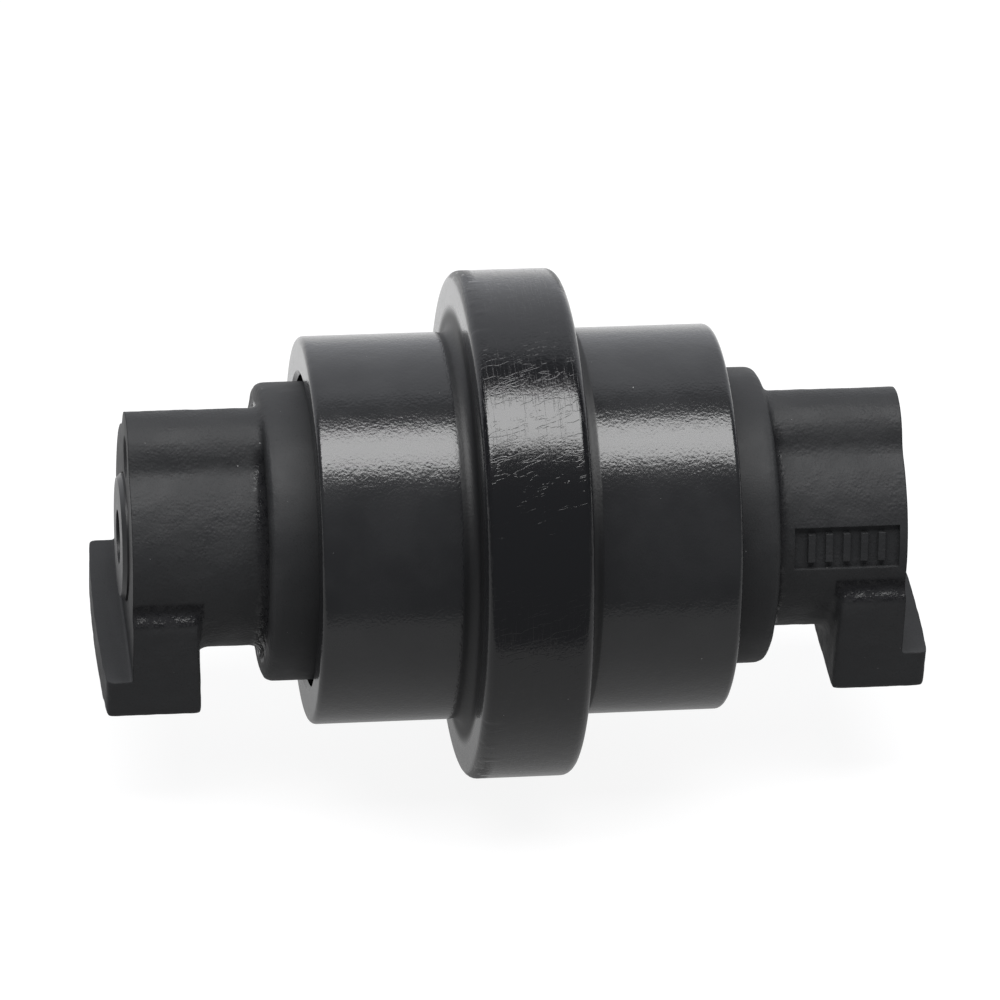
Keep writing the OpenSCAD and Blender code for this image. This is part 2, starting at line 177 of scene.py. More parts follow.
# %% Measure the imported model
TREAD_SHARE = 0.6
LIP_REACH = 8.3 * MM
shell_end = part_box("roller_shell")[1].y
flange_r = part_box("roller_shell")[1].z
shell_points = [v.co for v in frame["nodes"]["roller_shell"].data.vertices]
tread_r = max(off_axis(p) for p in shell_points if abs(p.y) > shell_end * TREAD_SHARE)
flange_end = max(abs(p.y) for p in shell_points if off_axis(p) > tread_r + 10 * MM)
collar_low, collar_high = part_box("right_end_collar")
shaft_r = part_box("shaft")[1].z
end_face = collar_high.y - LIP_REACH
lip_points = [v.co for v in frame["nodes"]["right_end_collar"].data.vertices
              if v.co.y > end_face + 1 * MM]
ledge_z = max(p.z for p in lip_points)
print("tread radius", round(tread_r / MM, 2), "flange half width", round(flange_end / MM, 2))

# %% [markdown]
# ## The turned shell
# The real shell is a forging, turned on a lathe, so it is made here as a lathe makes it: its half section
# is drawn by extruding one point from corner to corner, and the outline is spun about the shaft.
# The corners are arcs, because paint and light show every edge radius. The fillet beside the flange is cut
# a hair deeper than the tread, so the two meet in the crisp crease that a turning tool leaves.

# %% Outline helpers
ARC_STEPS = 6
ROW = 2.2 * MM
WELD = 0.01 * MM


def arc(r, y, radius, start, end):
    """Points of an arc about (r, y), from one angle to another, in degrees."""
    turn = [math.radians(start + (end - start) * i / ARC_STEPS) for i in range(ARC_STEPS + 1)]
    return [(r + radius * math.cos(a), y + radius * math.sin(a)) for a in turn]


def fill_rows(outline):
    """Adds points where the outline runs straight for long, so that the surface has even rows."""
    rows = [outline[0]]
    for a, b in zip(outline, outline[1:]):
        steps = max(1, round(math.dist(a, b) / ROW))
        rows += [(a[0] + (b[0] - a[0]) * i / steps, a[1] + (b[1] - a[1]) * i / steps)
                 for i in range(1, steps + 1)]
    return rows


def lathe(name, outline, steps):
    """Draws a closed outline of (radius, station) points and spins it about the shaft."""
    start_clean()
    bpy.ops.mesh.primitive_plane_add(size=1 * MM, location=(outline[0][0], outline[0][1], 0))
    piece = bpy.context.object
    piece.name = name
    settle(piece)
    bpy.ops.object.mode_set(mode="EDIT")
    bpy.ops.mesh.select_all(action="SELECT")
    bpy.ops.mesh.merge(type="CENTER")
    for a, b in zip(outline, outline[1:] + outline[:1]):
        bpy.ops.mesh.extrude_region_move(
            TRANSFORM_OT_translate={"value": (b[0] - a[0], b[1] - a[1], 0)})
    bpy.ops.mesh.select_all(action="SELECT")
    bpy.ops.mesh.remove_doubles(threshold=WELD)
    bpy.ops.mesh.spin(steps=steps, angle=2 * math.pi, center=(0, 0, 0), axis=(0, 1, 0))
    return close_up(piece)


# %% Shell outline
RIM_RADIUS = 1.8 * MM
ROOT_RADIUS = 3 * MM
ROOT_RELIEF = 0.25 * MM
FLANGE_CORNER = 3 * MM
MOUTH_R = 43 * MM
MOUTH_DEPTH = 7 * MM
MOUTH_CHAMFER = 1 * MM
SEAL_BORE_R = 33 * MM
BUSH_FLANGE_T = 3 * MM
OIL_SPACE_R = 25 * MM
bush_low, bush_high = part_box("right_bush")
bush_seat = bush_high.y - BUSH_FLANGE_T
bush_r = max(off_axis(v.co) for v in frame["nodes"]["right_bush"].data.vertices
             if v.co.y < bush_seat - 1 * MM)


def shell_half_outline():
    """The section of the shell's right half, from the flange's middle out to the bore."""
    root_r = tread_r - ROOT_RELIEF + ROOT_RADIUS
    root_y = flange_end + ROOT_RADIUS
    crease = math.degrees(math.acos(1 - ROOT_RELIEF / ROOT_RADIUS))
    half = [(flange_r, 0)]
    half += arc(flange_r - FLANGE_CORNER, flange_end - FLANGE_CORNER, FLANGE_CORNER, 0, 90)
    half += arc(root_r, root_y, ROOT_RADIUS, -90, -180 - crease)
    half += arc(tread_r - RIM_RADIUS, shell_end - RIM_RADIUS, RIM_RADIUS, 0, 90)
    half += [(MOUTH_R + MOUTH_CHAMFER, shell_end), (MOUTH_R, shell_end - MOUTH_CHAMFER),
             (MOUTH_R, shell_end - MOUTH_DEPTH), (SEAL_BORE_R, shell_end - MOUTH_DEPTH),
             (SEAL_BORE_R, bush_seat), (bush_r, bush_seat), (bush_r, bush_low.y),
             (OIL_SPACE_R, bush_low.y), (OIL_SPACE_R, 0)]
    return fill_rows(half)


half = shell_half_outline()
other = [(r, -y) for r, y in reversed(half)][1:-1]
SHELL_STEPS = 512
shell = lathe("painted_shell", half + other, SHELL_STEPS)
print("shell outline:", len(half) + len(other), "points,", len(shell.data.polygons), "faces")

# %% [markdown]
# ## Serrations on the flange's corners
# Where the forging was trimmed, the flange's corners keep a row of small teeth near the top and the
# bottom. Every second point along the corner is pushed in by 0.25 mm there, and a fixed seed leaves some
# of them out.

# %% Serrated corners
TOOTH_DEPTH = 0.25 * MM
TOOTH_SHARE = 0.9
TOOTH_BAND = 0.6
# each row of teeth: side, middle and half width in degrees from the top
SERRATIONS = ((-1, -13, 21), (1, -20, 12), (-1, 126, 20), (1, 205, 20), (-1, 250, 16))


def serrate(piece, side, middle, spread, rng):
    """Pushes in every second point on one corner of the flange, within an arc given in degrees."""
    only(piece)
    bpy.ops.object.mode_set(mode="EDIT")
    step = 360 / SHELL_STEPS

    def is_tooth(p):
        if off_axis(p) < flange_r - FLANGE_CORNER * TOOTH_BAND or abs(p.y) < flange_end - FLANGE_CORNER:
            return False
        turn = (math.degrees(math.atan2(p.x, p.z)) - middle + 180) % 360 - 180
        return p.y * side > 0 and abs(turn) < spread and round((turn + middle) / step) % 2 == 0 \
            and rng.random() < TOOTH_SHARE

    count = pick(piece, "VERT", is_tooth)
    scale = 1 - TOOTH_DEPTH / flange_r
    bpy.ops.transform.resize(value=(scale, 1, scale), center_override=(0, 0, 0))
    bpy.ops.object.mode_set(mode="OBJECT")
    return count


print("teeth:", [serrate(shell, *place, random.Random(place[1])) for place in SERRATIONS])

# %% [markdown]
# ## The two end castings
# An iron casting has no sharp edges: sand moulds leave them round, and the machinist then mills only the
# faces that must fit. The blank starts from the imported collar. Its holes and its tally pocket are plugged,
# stock is left on the milled faces, and all of it is remeshed to one even skin and smoothed as a casting
# is. Then the same cuts follow as in the workshop.

# %% Casting blank
SKIN_STEP = 0.8 * MM
SKIN_SMOOTHING = 8
STOCK = 2 * MM
BODY_R = 31 * MM
BOSS_R = 12.4 * MM
BOLT_Z = 26 * MM
BODY_LEN = 36.5 * MM
BODY_FILLET = 3 * MM
NEAR = 0.02 * MM
ring_out = end_face - BODY_LEN
body_in = ring_out + BODY_FILLET


def bar(name, radius, y0, y1, z=0, sides=96):
    """A round bar along the shaft's direction."""
    start_clean()
    bpy.ops.mesh.primitive_cylinder_add(vertices=sides, radius=radius, depth=y1 - y0,
                                        location=(0, (y0 + y1) / 2, z), rotation=(-math.pi / 2, 0, 0))
    bpy.context.object.name = name
    return settle(bpy.context.object)


def merged_copy(node):
    """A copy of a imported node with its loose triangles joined."""
    start_clean()
    piece = bpy.data.objects.new("cast_collar", frame["nodes"][node].data.copy())
    bpy.context.scene.collection.objects.link(piece)
    only(piece)
    bpy.ops.object.mode_set(mode="EDIT")
    bpy.ops.mesh.select_all(action="SELECT")
    bpy.ops.mesh.remove_doubles(threshold=0.001 * MM)
    bpy.ops.object.mode_set(mode="OBJECT")
    return piece


def leave_stock(piece):
    """Moves the milled faces out, to be cut back after the skin is made."""
    only(piece)
    bpy.ops.object.mode_set(mode="EDIT")
    pick(piece, "VERT", lambda p: abs(p.y - end_face) < NEAR and p.z > ledge_z - NEAR)
    bpy.ops.transform.translate(value=(0, STOCK, 0))
    pick(piece, "VERT", lambda p: abs(p.z - ledge_z) < NEAR and p.y > end_face - NEAR)
    bpy.ops.transform.translate(value=(0, 0, STOCK))
    bpy.ops.object.mode_set(mode="OBJECT")
    return piece


collar = leave_stock(merged_copy("right_end_collar"))
plugs = [bar("plug_body", BODY_R, body_in, end_face + STOCK),
         bar("plug_boss", BOSS_R, ring_out - 1 * MM, end_face + STOCK, BOLT_Z),
         bar("plug_bore", shaft_r + 3 * MM, collar_low.y + 1 * MM, end_face + STOCK)]
only(collar)
for plug in plugs:
    plug.select_set(True)
bpy.ops.object.join()
add_modifier(collar, "REMESH", mode="VOXEL", voxel_size=SKIN_STEP)
add_modifier(collar, "SMOOTH", factor=0.5, iterations=SKIN_SMOOTHING)
print("casting skin:", len(collar.data.polygons), "faces")

# %% [markdown]
# ## Soft inside corners
# Molten iron fills the inside corners of its mould to a generous radius, so those corners are smoothed
# further: above the foot, and between the foot and the body. The foot's own corners are smoothed about
# half as much. A vertex group says where.

# %% Soft corners
FOOT_LEN = 19 * MM
CORNER_SMOOTHING = 30
FOOT_SHARE = 0.55
foot_in = collar_high.y - LIP_REACH - FOOT_LEN


def group_where(piece, name, weight):
    """A vertex group whose weights come from a function of each point's place."""
    group = piece.vertex_groups.new(name=name)
    for v in piece.data.vertices:
        group.add([v.index], weight(v.co), "REPLACE")
    return group.name


def soft_corner(p):
    """1 near the inside corners about the foot, about half on the foot, and 0 elsewhere."""
    above_foot = abs(p.z + 5 * MM) < 5 * MM and abs(p.x) > 27 * MM
    beside_foot = abs(p.y - foot_in) < 4.5 * MM and p.z < -14 * MM and off_axis(p) < BODY_R + 2.5 * MM
    on_foot = p.z < -10 * MM and p.y > foot_in - 1 * MM
    return 1.0 if (above_foot or beside_foot) and p.y > body_in else FOOT_SHARE * on_foot


corners = group_where(collar, "soft_corners", soft_corner)
add_modifier(collar, "SMOOTH", factor=0.5, iterations=CORNER_SMOOTHING,
             vertex_group=corners)
print("softened corners near station", round(foot_in / MM, 1))

# %% [markdown]
# ## Lumps in the casting
# A sand mould leaves a skin that rolls gently over a few millimetres. A displacement with a cloud texture
# gives real unevenness, and a vertex group keeps it off the faces that are turned on the lathe.

# %% Casting lumps
LUMP_SIZE = 5 * MM
LUMP_HEIGHT = 0.3 * MM


def cloud(name, size, depth=2):
    """A procedural cloud texture for displacement."""
    texture = bpy.data.textures.new(name, "CLOUDS")
    texture.noise_scale = size
    texture.noise_depth = depth
    return texture


def sand_skin(p):
    """1 where the sand shaped the iron, and 0 on the turned ring."""
    return 0.0 if p.y < ring_out - 2 * MM else 1.0


skin = group_where(collar, "sand_skin", sand_skin)
add_modifier(collar, "DISPLACE", texture=cloud("lumps", LUMP_SIZE), strength=LUMP_HEIGHT, mid_level=0.55,
             texture_coords="LOCAL", vertex_group=skin)

# %% [markdown]
# ## Cuts in the workshop
# The end face and the hook's ledge are milled in one pass, the bore is reamed and grooved for its O-ring,
# and the bolt hole and the lock pin's hole are drilled. The tally pocket is a plain one with ribs, pressed
# into the mould, so it is cut last and keeps crisp edges. Each cutter is a shape taken away by a boolean.

# %% Cutting helper


def cut(piece, *cutters):
    """Takes the cutters' shapes out of the piece, and removes the cutters."""
    for cutter in cutters:
        settle(cutter)
        add_modifier(piece, "BOOLEAN", object=cutter, operation="DIFFERENCE", solver="EXACT")
        bpy.data.objects.remove(cutter)
    return len(piece.data.polygons)


def block(name, low, high):
    """A block between two corners."""
    start_clean()
    middle = [(a + b) / 2 for a, b in zip(low, high)]
    bpy.ops.mesh.primitive_cube_add(size=1, location=middle)
    piece = bpy.context.object
    piece.name = name
    piece.scale = [b - a for a, b in zip(low, high)]
    return settle(piece)


WIDE = 80 * MM
MILL_CORNER = 0.8 * MM
mill = block("mill", (-WIDE, end_face, ledge_z), (WIDE, end_face + WIDE, WIDE))
only(mill)
bpy.ops.object.mode_set(mode="EDIT")
pick(mill, "EDGE", lambda p: p.y < end_face + 1 * MM and p.z < ledge_z + 1 * MM)
bpy.ops.mesh.bevel(offset=MILL_CORNER, segments=3)
bpy.ops.object.mode_set(mode="OBJECT")
print("after milling:", cut(collar, mill), "faces")

# %% Drilled and reamed holes
SINK = 1 * MM
SNUG = 0.02 * MM
BOLT_R = 5.1 * MM
BOLT_DEPTH = 26 * MM
BORE_SINK, BOLT_SINK = 0.8, 2
bore_r = shaft_r + SNUG
bore = bar("reamer", bore_r, collar_low.y - 5 * MM, end_face + SINK, sides=128)
bolt_drill = bar("bolt_drill", BOLT_R, end_face - BOLT_DEPTH, end_face + SINK, BOLT_Z, 64)
for tool, radius, z, spread in ((bore, bore_r, 0, BORE_SINK), (bolt_drill, BOLT_R, BOLT_Z, BOLT_SINK)):
    only(tool)
    bpy.ops.object.mode_set(mode="EDIT")
    pick(tool, "FACE", lambda p: p.y > end_face + SINK - 0.01 * MM)
    bpy.ops.transform.translate(value=(0, -2 * SINK, 0))
    bpy.ops.mesh.extrude_region_move(TRANSFORM_OT_translate={"value": (0, 2 * SINK, 0)})
    widen = 1 + spread * SINK / radius
    bpy.ops.transform.resize(value=(widen, 1, widen), center_override=(0, end_face, z))
    close_up(tool)
print("after drilling:", cut(collar, bore, bolt_drill), "faces")

# %% O-ring groove and lock pin hole
GROOVE_SIDE = 0.4 * MM
PIN_R = 4.02 * MM
PIN_ROOM = 0.5 * MM
oring_low, oring_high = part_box("right_shaft_oring")
pin_low, pin_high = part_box("right_lock_pin")
groove = bar("groove", oring_high.x, oring_low.y - GROOVE_SIDE, oring_high.y + GROOVE_SIDE, sides=128)
start_clean()
bpy.ops.mesh.primitive_cylinder_add(
    vertices=64, radius=PIN_R, depth=pin_high.z + PIN_ROOM + WIDE,
    location=((pin_low.x + pin_high.x) / 2, (pin_low.y + pin_high.y) / 2,
              (pin_high.z + PIN_ROOM - WIDE) / 2))
pin_drill = bpy.context.object
print("after grooving:", cut(collar, groove, pin_drill), "faces")

# %% Tally pocket
TALLY_ANGLE = math.radians(15)
TALLY_MARGIN = 2.2 * MM
TALLY_HALF = 6 * MM
TALLY_DEPTH = 1.7 * MM
RIBS = 5
RIB_HALF = 1 * MM
RIB_HEIGHT = 1 * MM
RIB_MARGIN = 2 * MM
tally_low, tally_high = body_in + TALLY_MARGIN, end_face - TALLY_MARGIN
tally_floor = BODY_R - TALLY_DEPTH
tally = block("tally", (tally_floor, tally_low, -TALLY_HALF), (BODY_R + WIDE, tally_high, TALLY_HALF))
pitch = (tally_high - tally_low) / (RIBS + 1)
rib_stations = [tally_low + pitch * (i + 1) for i in range(RIBS)]
ribs = [block("rib", (tally_floor - RIB_HEIGHT, y - RIB_HALF, RIB_MARGIN - TALLY_HALF),
              (tally_floor + RIB_HEIGHT, y + RIB_HALF, TALLY_HALF - RIB_MARGIN)) for y in rib_stations]
cut(tally, *ribs)
only(tally)
bpy.ops.transform.rotate(value=TALLY_ANGLE, orient_axis="Y", center_override=(0, 0, 0))
settle(tally)
print("after the tally:", cut(collar, tally), "faces")

# %% [markdown]
# ## The left-hand casting
# Both ends use the same casting. The left one is a copy with its own mesh, turned half round about the
# vertical, and its turn is applied so that its place lies in its mesh.

# %% Left-hand casting
collar.name = "right_cast_collar"
left_collar = collar.copy()
left_collar.data = collar.data.copy()
left_collar.name = "left_cast_collar"
bpy.context.scene.collection.objects.link(left_collar)
left_collar.rotation_euler = (0, 0, math.pi)
settle(left_collar)
triangles = sum(len(f.vertices) - 2 for f in left_collar.data.polygons)
print("collars:", collar.name, left_collar.name, "of", triangles, "triangles each")

# %% [markdown]
# ## Shading the surfaces
# Smooth shading by angle keeps the machined edges crisp and lets the round surfaces run together.

# %% Smooth shading
CREASE = math.radians(32)
for piece in (shell, collar, left_collar):
    only(piece)
    bpy.ops.object.shade_smooth_by_angle(angle=CREASE)

# %% [markdown]
# ## Shared effects for the paint
# Black paint on steel is seen almost only by what it reflects, so its surface is the finish: the
# orange-peel of the spray, the pebbled skin of the casting under it, the fine rings of the turning tool,
# wrinkles in the forged steel and specks of dust. Each is a shader group with its own inputs, built once.

# %% Node helpers


def new_group(name, inputs, outputs):
    """A shader node group with named sockets, and its input and output nodes."""
    tree = bpy.data.node_groups.new(name, "ShaderNodeTree")
    for label, kind, value in inputs:
        socket = tree.interface.new_socket(label, in_out="INPUT", socket_type=kind)
        if value is not None:
            socket.default_value = value
    for label, kind in outputs:
        tree.interface.new_socket(label, in_out="OUTPUT", socket_type=kind)
    return tree, tree.nodes.new("NodeGroupInput"), tree.nodes.new("NodeGroupOutput")


def node(tree, kind, settings=None, **inputs):
    """Adds a node, sets its properties, and sets or links its inputs by name or number."""
    made = tree.nodes.new("ShaderNode" + kind)
    for name, value in (settings or {}).items():
        setattr(made, name, value)
    for name, value in inputs.items():
        key = int(name[1:]) if name[0] == "i" and name[1:].isdigit() else name.replace("_", " ")
        socket = made.inputs[key]
        if isinstance(value, bpy.types.NodeSocket):
            tree.links.new(value, socket)
        else:
            socket.default_value = value
    return made


def math_node(tree, operation, a, b=0.0, clamp=False):
    """The result of one math operation."""
    return node(tree, "Math", {"operation": operation, "use_clamp": clamp}, i0=a, i1=b).outputs[0]


def ramp(tree, value, low, high, out_low=0.0, out_high=1.0):
    """Maps a range of values to another, smoothly and clamped."""
    return node(tree, "MapRange", {"interpolation_type": "SMOOTHSTEP"}, Value=value, From_Min=low,
                From_Max=high, To_Min=out_low, To_Max=out_high).outputs[0]


def noise(tree, vector, scale, detail=2.0, rough=0.5):
    """The grey value of a noise pattern, in patterns per metre."""
    return node(tree, "TexNoise", Vector=vector, Scale=scale, Detail=detail, Roughness=rough).outputs["Fac"]


# %% Unrolled coordinates
UNROLL_RADIUS = 0.06


def make_unrolled():
    """Object coordinates unrolled about the shaft: round the circle, along the shaft, off the axis."""
    tree, given, out = new_group("unrolled", [("Vector", "NodeSocketVector", None)],
                                 [("Vector", "NodeSocketVector")])
    xyz = node(tree, "SeparateXYZ", Vector=given.outputs[0])
    turn = math_node(tree, "ARCTAN2", xyz.outputs["X"], xyz.outputs["Z"])
    square = math_node(tree, "ADD", math_node(tree, "POWER", xyz.outputs["X"], 2.0),
                       math_node(tree, "POWER", xyz.outputs["Z"], 2.0))
    reach = math_node(tree, "SQRT", square)
    round_way = math_node(tree, "MULTIPLY", turn, UNROLL_RADIUS)
    joined = node(tree, "CombineXYZ", X=round_way, Y=xyz.outputs["Y"], Z=reach)
    tree.links.new(joined.outputs[0], out.inputs[0])
    return tree


UNROLLED = make_unrolled()


# %% Orange peel and casting skin


def make_orange_peel():
    """The fine even ripple of sprayed paint, as a height from 0 to 1."""
    tree, given, out = new_group("orange_peel", [("Vector", "NodeSocketVector", None),
                                                 ("Scale", "NodeSocketFloat", 900.0)],
                                 [("Height", "NodeSocketFloat")])
    fine = noise(tree, given.outputs[0], given.outputs[1], 1.0)
    broad = noise(tree, given.outputs[0], math_node(tree, "MULTIPLY", given.outputs[1], 0.22), 1.0)
    tree.links.new(math_node(tree, "ADD", math_node(tree, "MULTIPLY", fine, 0.5),
                             math_node(tree, "MULTIPLY", broad, 0.5)), out.inputs[0])
    return tree


def make_cast_skin():
    """The pebbled skin that sand leaves on iron, as a height, with a mask of its pits for painted shade."""
    tree, given, out = new_group("cast_skin", [("Vector", "NodeSocketVector", None),
                                               ("Scale", "NodeSocketFloat", 1100.0)],
                                 [("Height", "NodeSocketFloat"), ("PitShade", "NodeSocketFloat")])
    cells = node(tree, "TexVoronoi", {"feature": "SMOOTH_F1"}, Vector=given.outputs[0],
                 Scale=given.outputs[1], Smoothness=0.6)
    pebble = math_node(tree, "SUBTRACT", 1.0, cells.outputs["Distance"])
    patch = ramp(tree, noise(tree, given.outputs[0], 160.0, 2.0), 0.35, 0.65, 0.35, 1.0)
    fine = noise(tree, given.outputs[0], math_node(tree, "MULTIPLY", given.outputs[1], 2.3), 3.0, 0.6)
    lumps = noise(tree, given.outputs[0], math_node(tree, "MULTIPLY", given.outputs[1], 0.3), 2.0)
    height = math_node(tree, "ADD", math_node(tree, "MULTIPLY", pebble, patch),
                       math_node(tree, "MULTIPLY", fine, 0.35))
    height = math_node(tree, "ADD", height, math_node(tree, "MULTIPLY", lumps, 0.8))
    tree.links.new(height, out.inputs["Height"])
    # the low spots of the fine grain, darkened in the paint as painted shade
    pit_shade_mask = ramp(tree, fine, 0.42, 0.3)
    tree.links.new(pit_shade_mask, out.inputs["PitShade"])
    return tree


ORANGE_PEEL = make_orange_peel()
CAST_SKIN = make_cast_skin()


# %% Turning rings, wrinkles and dust


def make_turning_rings():
    """Fine rings round the shaft, from the turning tool, as a height. It reads unrolled coordinates."""
    tree, given, out = new_group("turning_rings", [("Vector", "NodeSocketVector", None),
                                                   ("Pitch", "NodeSocketFloat", 1800.0)],
                                 [("Height", "NodeSocketFloat")])
    stretched = node(tree, "VectorMath", {"operation": "MULTIPLY"}, i0=given.outputs[0])
    stretched.inputs[1].default_value = (0.02, 1.0, 1.0)
    fine = noise(tree, stretched.outputs[0], given.outputs[1], 2.0, 0.6)
    broad = noise(tree, stretched.outputs[0], math_node(tree, "MULTIPLY", given.outputs[1], 0.2), 1.0)
    tree.links.new(math_node(tree, "ADD", math_node(tree, "MULTIPLY", fine, 0.7),
                             math_node(tree, "MULTIPLY", broad, 0.3)), out.inputs[0])
    return tree


def make_wrinkles():
    """Thin wavy lines that run along one direction and break off, as a mask from 0 to 1."""
    tree, given, out = new_group("wrinkles", [("Vector", "NodeSocketVector", None),
                                              ("Angle", "NodeSocketFloat", 0.0),
                                              ("Along", "NodeSocketFloat", 50.0),
                                              ("Across", "NodeSocketFloat", 500.0),
                                              ("Thin", "NodeSocketFloat", 0.03),
                                              ("Amount", "NodeSocketFloat", 0.5)],
                                 [("Mask", "NodeSocketFloat")])
    turned = node(tree, "VectorRotate", {"rotation_type": "Z_AXIS"}, Vector=given.outputs[0],
                  Angle=given.outputs["Angle"])
    parts = node(tree, "SeparateXYZ", Vector=turned.outputs[0])
    stretched = node(tree, "CombineXYZ",
                     X=math_node(tree, "MULTIPLY", parts.outputs["X"], given.outputs["Along"]),
                     Y=math_node(tree, "MULTIPLY", parts.outputs["Y"], given.outputs["Across"]))
    field = noise(tree, stretched.outputs[0], 1.0, 3.0, 0.55)
    level = math_node(tree, "ABSOLUTE", math_node(tree, "SUBTRACT", field, 0.5))
    line = node(tree, "MapRange", {"interpolation_type": "SMOOTHSTEP"}, Value=level, From_Min=0.0,
                From_Max=given.outputs["Thin"], To_Min=1.0, To_Max=0.0).outputs[0]
    where = noise(tree, given.outputs[0], 150.0, 2.0)
    low = math_node(tree, "SUBTRACT", 1.0, given.outputs["Amount"])
    gate = node(tree, "MapRange", {"interpolation_type": "SMOOTHSTEP"}, Value=where, From_Min=low,
                From_Max=math_node(tree, "ADD", low, 0.1)).outputs[0]
    tree.links.new(math_node(tree, "MULTIPLY", line, gate), out.inputs[0])
    return tree


def make_dust():
    """Sparse specks of dust and paint nibs, as a mask from 0 to 1."""
    tree, given, out = new_group("dust", [("Vector", "NodeSocketVector", None),
                                          ("Scale", "NodeSocketFloat", 260.0),
                                          ("Size", "NodeSocketFloat", 0.07)],
                                 [("Mask", "NodeSocketFloat")])
    cells = node(tree, "TexVoronoi", {"feature": "F1"}, Vector=given.outputs[0], Scale=given.outputs[1],
                 Randomness=1.0)
    chance = node(tree, "SeparateXYZ", Vector=cells.outputs["Color"])
    size = math_node(tree, "MULTIPLY", given.outputs["Size"], chance.outputs["X"])
    speck = math_node(tree, "LESS_THAN", cells.outputs["Distance"], size)
    rare = math_node(tree, "GREATER_THAN", chance.outputs["Y"], 0.55)
    tree.links.new(math_node(tree, "MULTIPLY", speck, rare), out.inputs[0])
    return tree


TURNING_RINGS = make_turning_rings()
WRINKLES = make_wrinkles()
DUST = make_dust()
print("shader groups:", sorted(g.name for g in bpy.data.node_groups))

# %% [markdown]
# ## Material helpers
# Each material keeps its own Principled shader. Values that are the same all over the surface are set on
# the shader's sockets, and only what changes over the surface comes in by a link.

# %% Material helpers


def use_group(tree, group, **inputs):
    """Places a shared effect in a material."""
    made = tree.nodes.new("ShaderNodeGroup")
    made.node_tree = group
    for name, value in inputs.items():
        socket = made.inputs[name]
        if isinstance(value, bpy.types.NodeSocket):
            tree.links.new(value, socket)
        else:
            socket.default_value = value
    return made


def new_material(name, color, roughness, metallic=0.0):
    """A material with a Principled shader, and the Object coordinates that its patterns read."""
    material = bpy.data.materials.new(name)
    material.use_nodes = True
    tree = material.node_tree
    shader = tree.nodes["Principled BSDF"]
    shader.inputs["Base Color"].default_value = (*color, 1)
    shader.inputs["Roughness"].default_value = roughness
    shader.inputs["Metallic"].default_value = metallic
    place = tree.nodes.new("ShaderNodeTexCoord").outputs["Object"]
    return material, tree, shader, place


def mix_color(tree, mask, a, b):
    """One colour where the mask is 0 and another where it is 1."""
    mixed = node(tree, "Mix", {"data_type": "RGBA"}, i0=mask)
    for socket, value in ((mixed.inputs[6], a), (mixed.inputs[7], b)):
        if isinstance(value, bpy.types.NodeSocket):
            tree.links.new(value, socket)
        else:
            socket.default_value = (*value, 1)
    return mixed.outputs[2]


def bump(tree, height, distance, normal=None):
    """A bump of that many metres for heights from 0 to 1."""
    made = node(tree, "Bump", Height=height, Distance=distance, Strength=1.0)
    if normal is not None:
        tree.links.new(normal, made.inputs["Normal"])
    return made.outputs[0]


# %% [markdown]
# ## Black paint on the turned shell
# The treads carry a satin coat with a fine ripple. The flange's rim is smoother and darker, and keeps the
# forging's wrinkles under its paint: long fine lines round the rim, and short tilted ones across it. Where
# the treads meet the flange the coat is dull, and its colour is darkened as painted shade.

# %% Shell paint
PAINT_BLACK = (0.003, 0.0032, 0.004)
PAINT_HAZE = (0.0148, 0.0152, 0.0163)
DUST_GREY = (0.2, 0.2, 0.2)
QUARTER_TURN = math.pi / 2
WRINKLE_TILT = 0.25
LINES_ACROSS = dict(Angle=QUARTER_TURN - WRINKLE_TILT, Along=70.0, Across=300.0, Thin=0.02, Amount=0.64)
LINES_AROUND = dict(Angle=0.0, Along=40.0, Across=700.0, Thin=0.03, Amount=0.68)
SHELL_PEEL, SHELL_RINGS, SHELL_CLOUDS = 1300.0, 2200.0, 70.0
SHELL_SPECKS = dict(Scale=230.0, Size=0.045)
RIM_BAND = (2.2 * MM, 0.6 * MM)
ROOT_SHADE_ALONG = (4.8 * MM, 4 * MM)
ROOT_SHADE_UP = (8 * MM, 4 * MM)
TREAD_ROUGH, RIM_ROUGH, ROOT_DULL, SPECK_DULL, CLOUD_DULL = 0.17, 0.14, 0.34, 0.4, 0.04
HAZE_LEAST = 0.6
RIM_GRAIN = 0.6
PEEL_HEIGHT = 0.12 * MM
RING_HEIGHT = 0.009 * MM
WRINKLE_HEIGHT = 0.018 * MM
PATCHY = (0.3, 0.7)


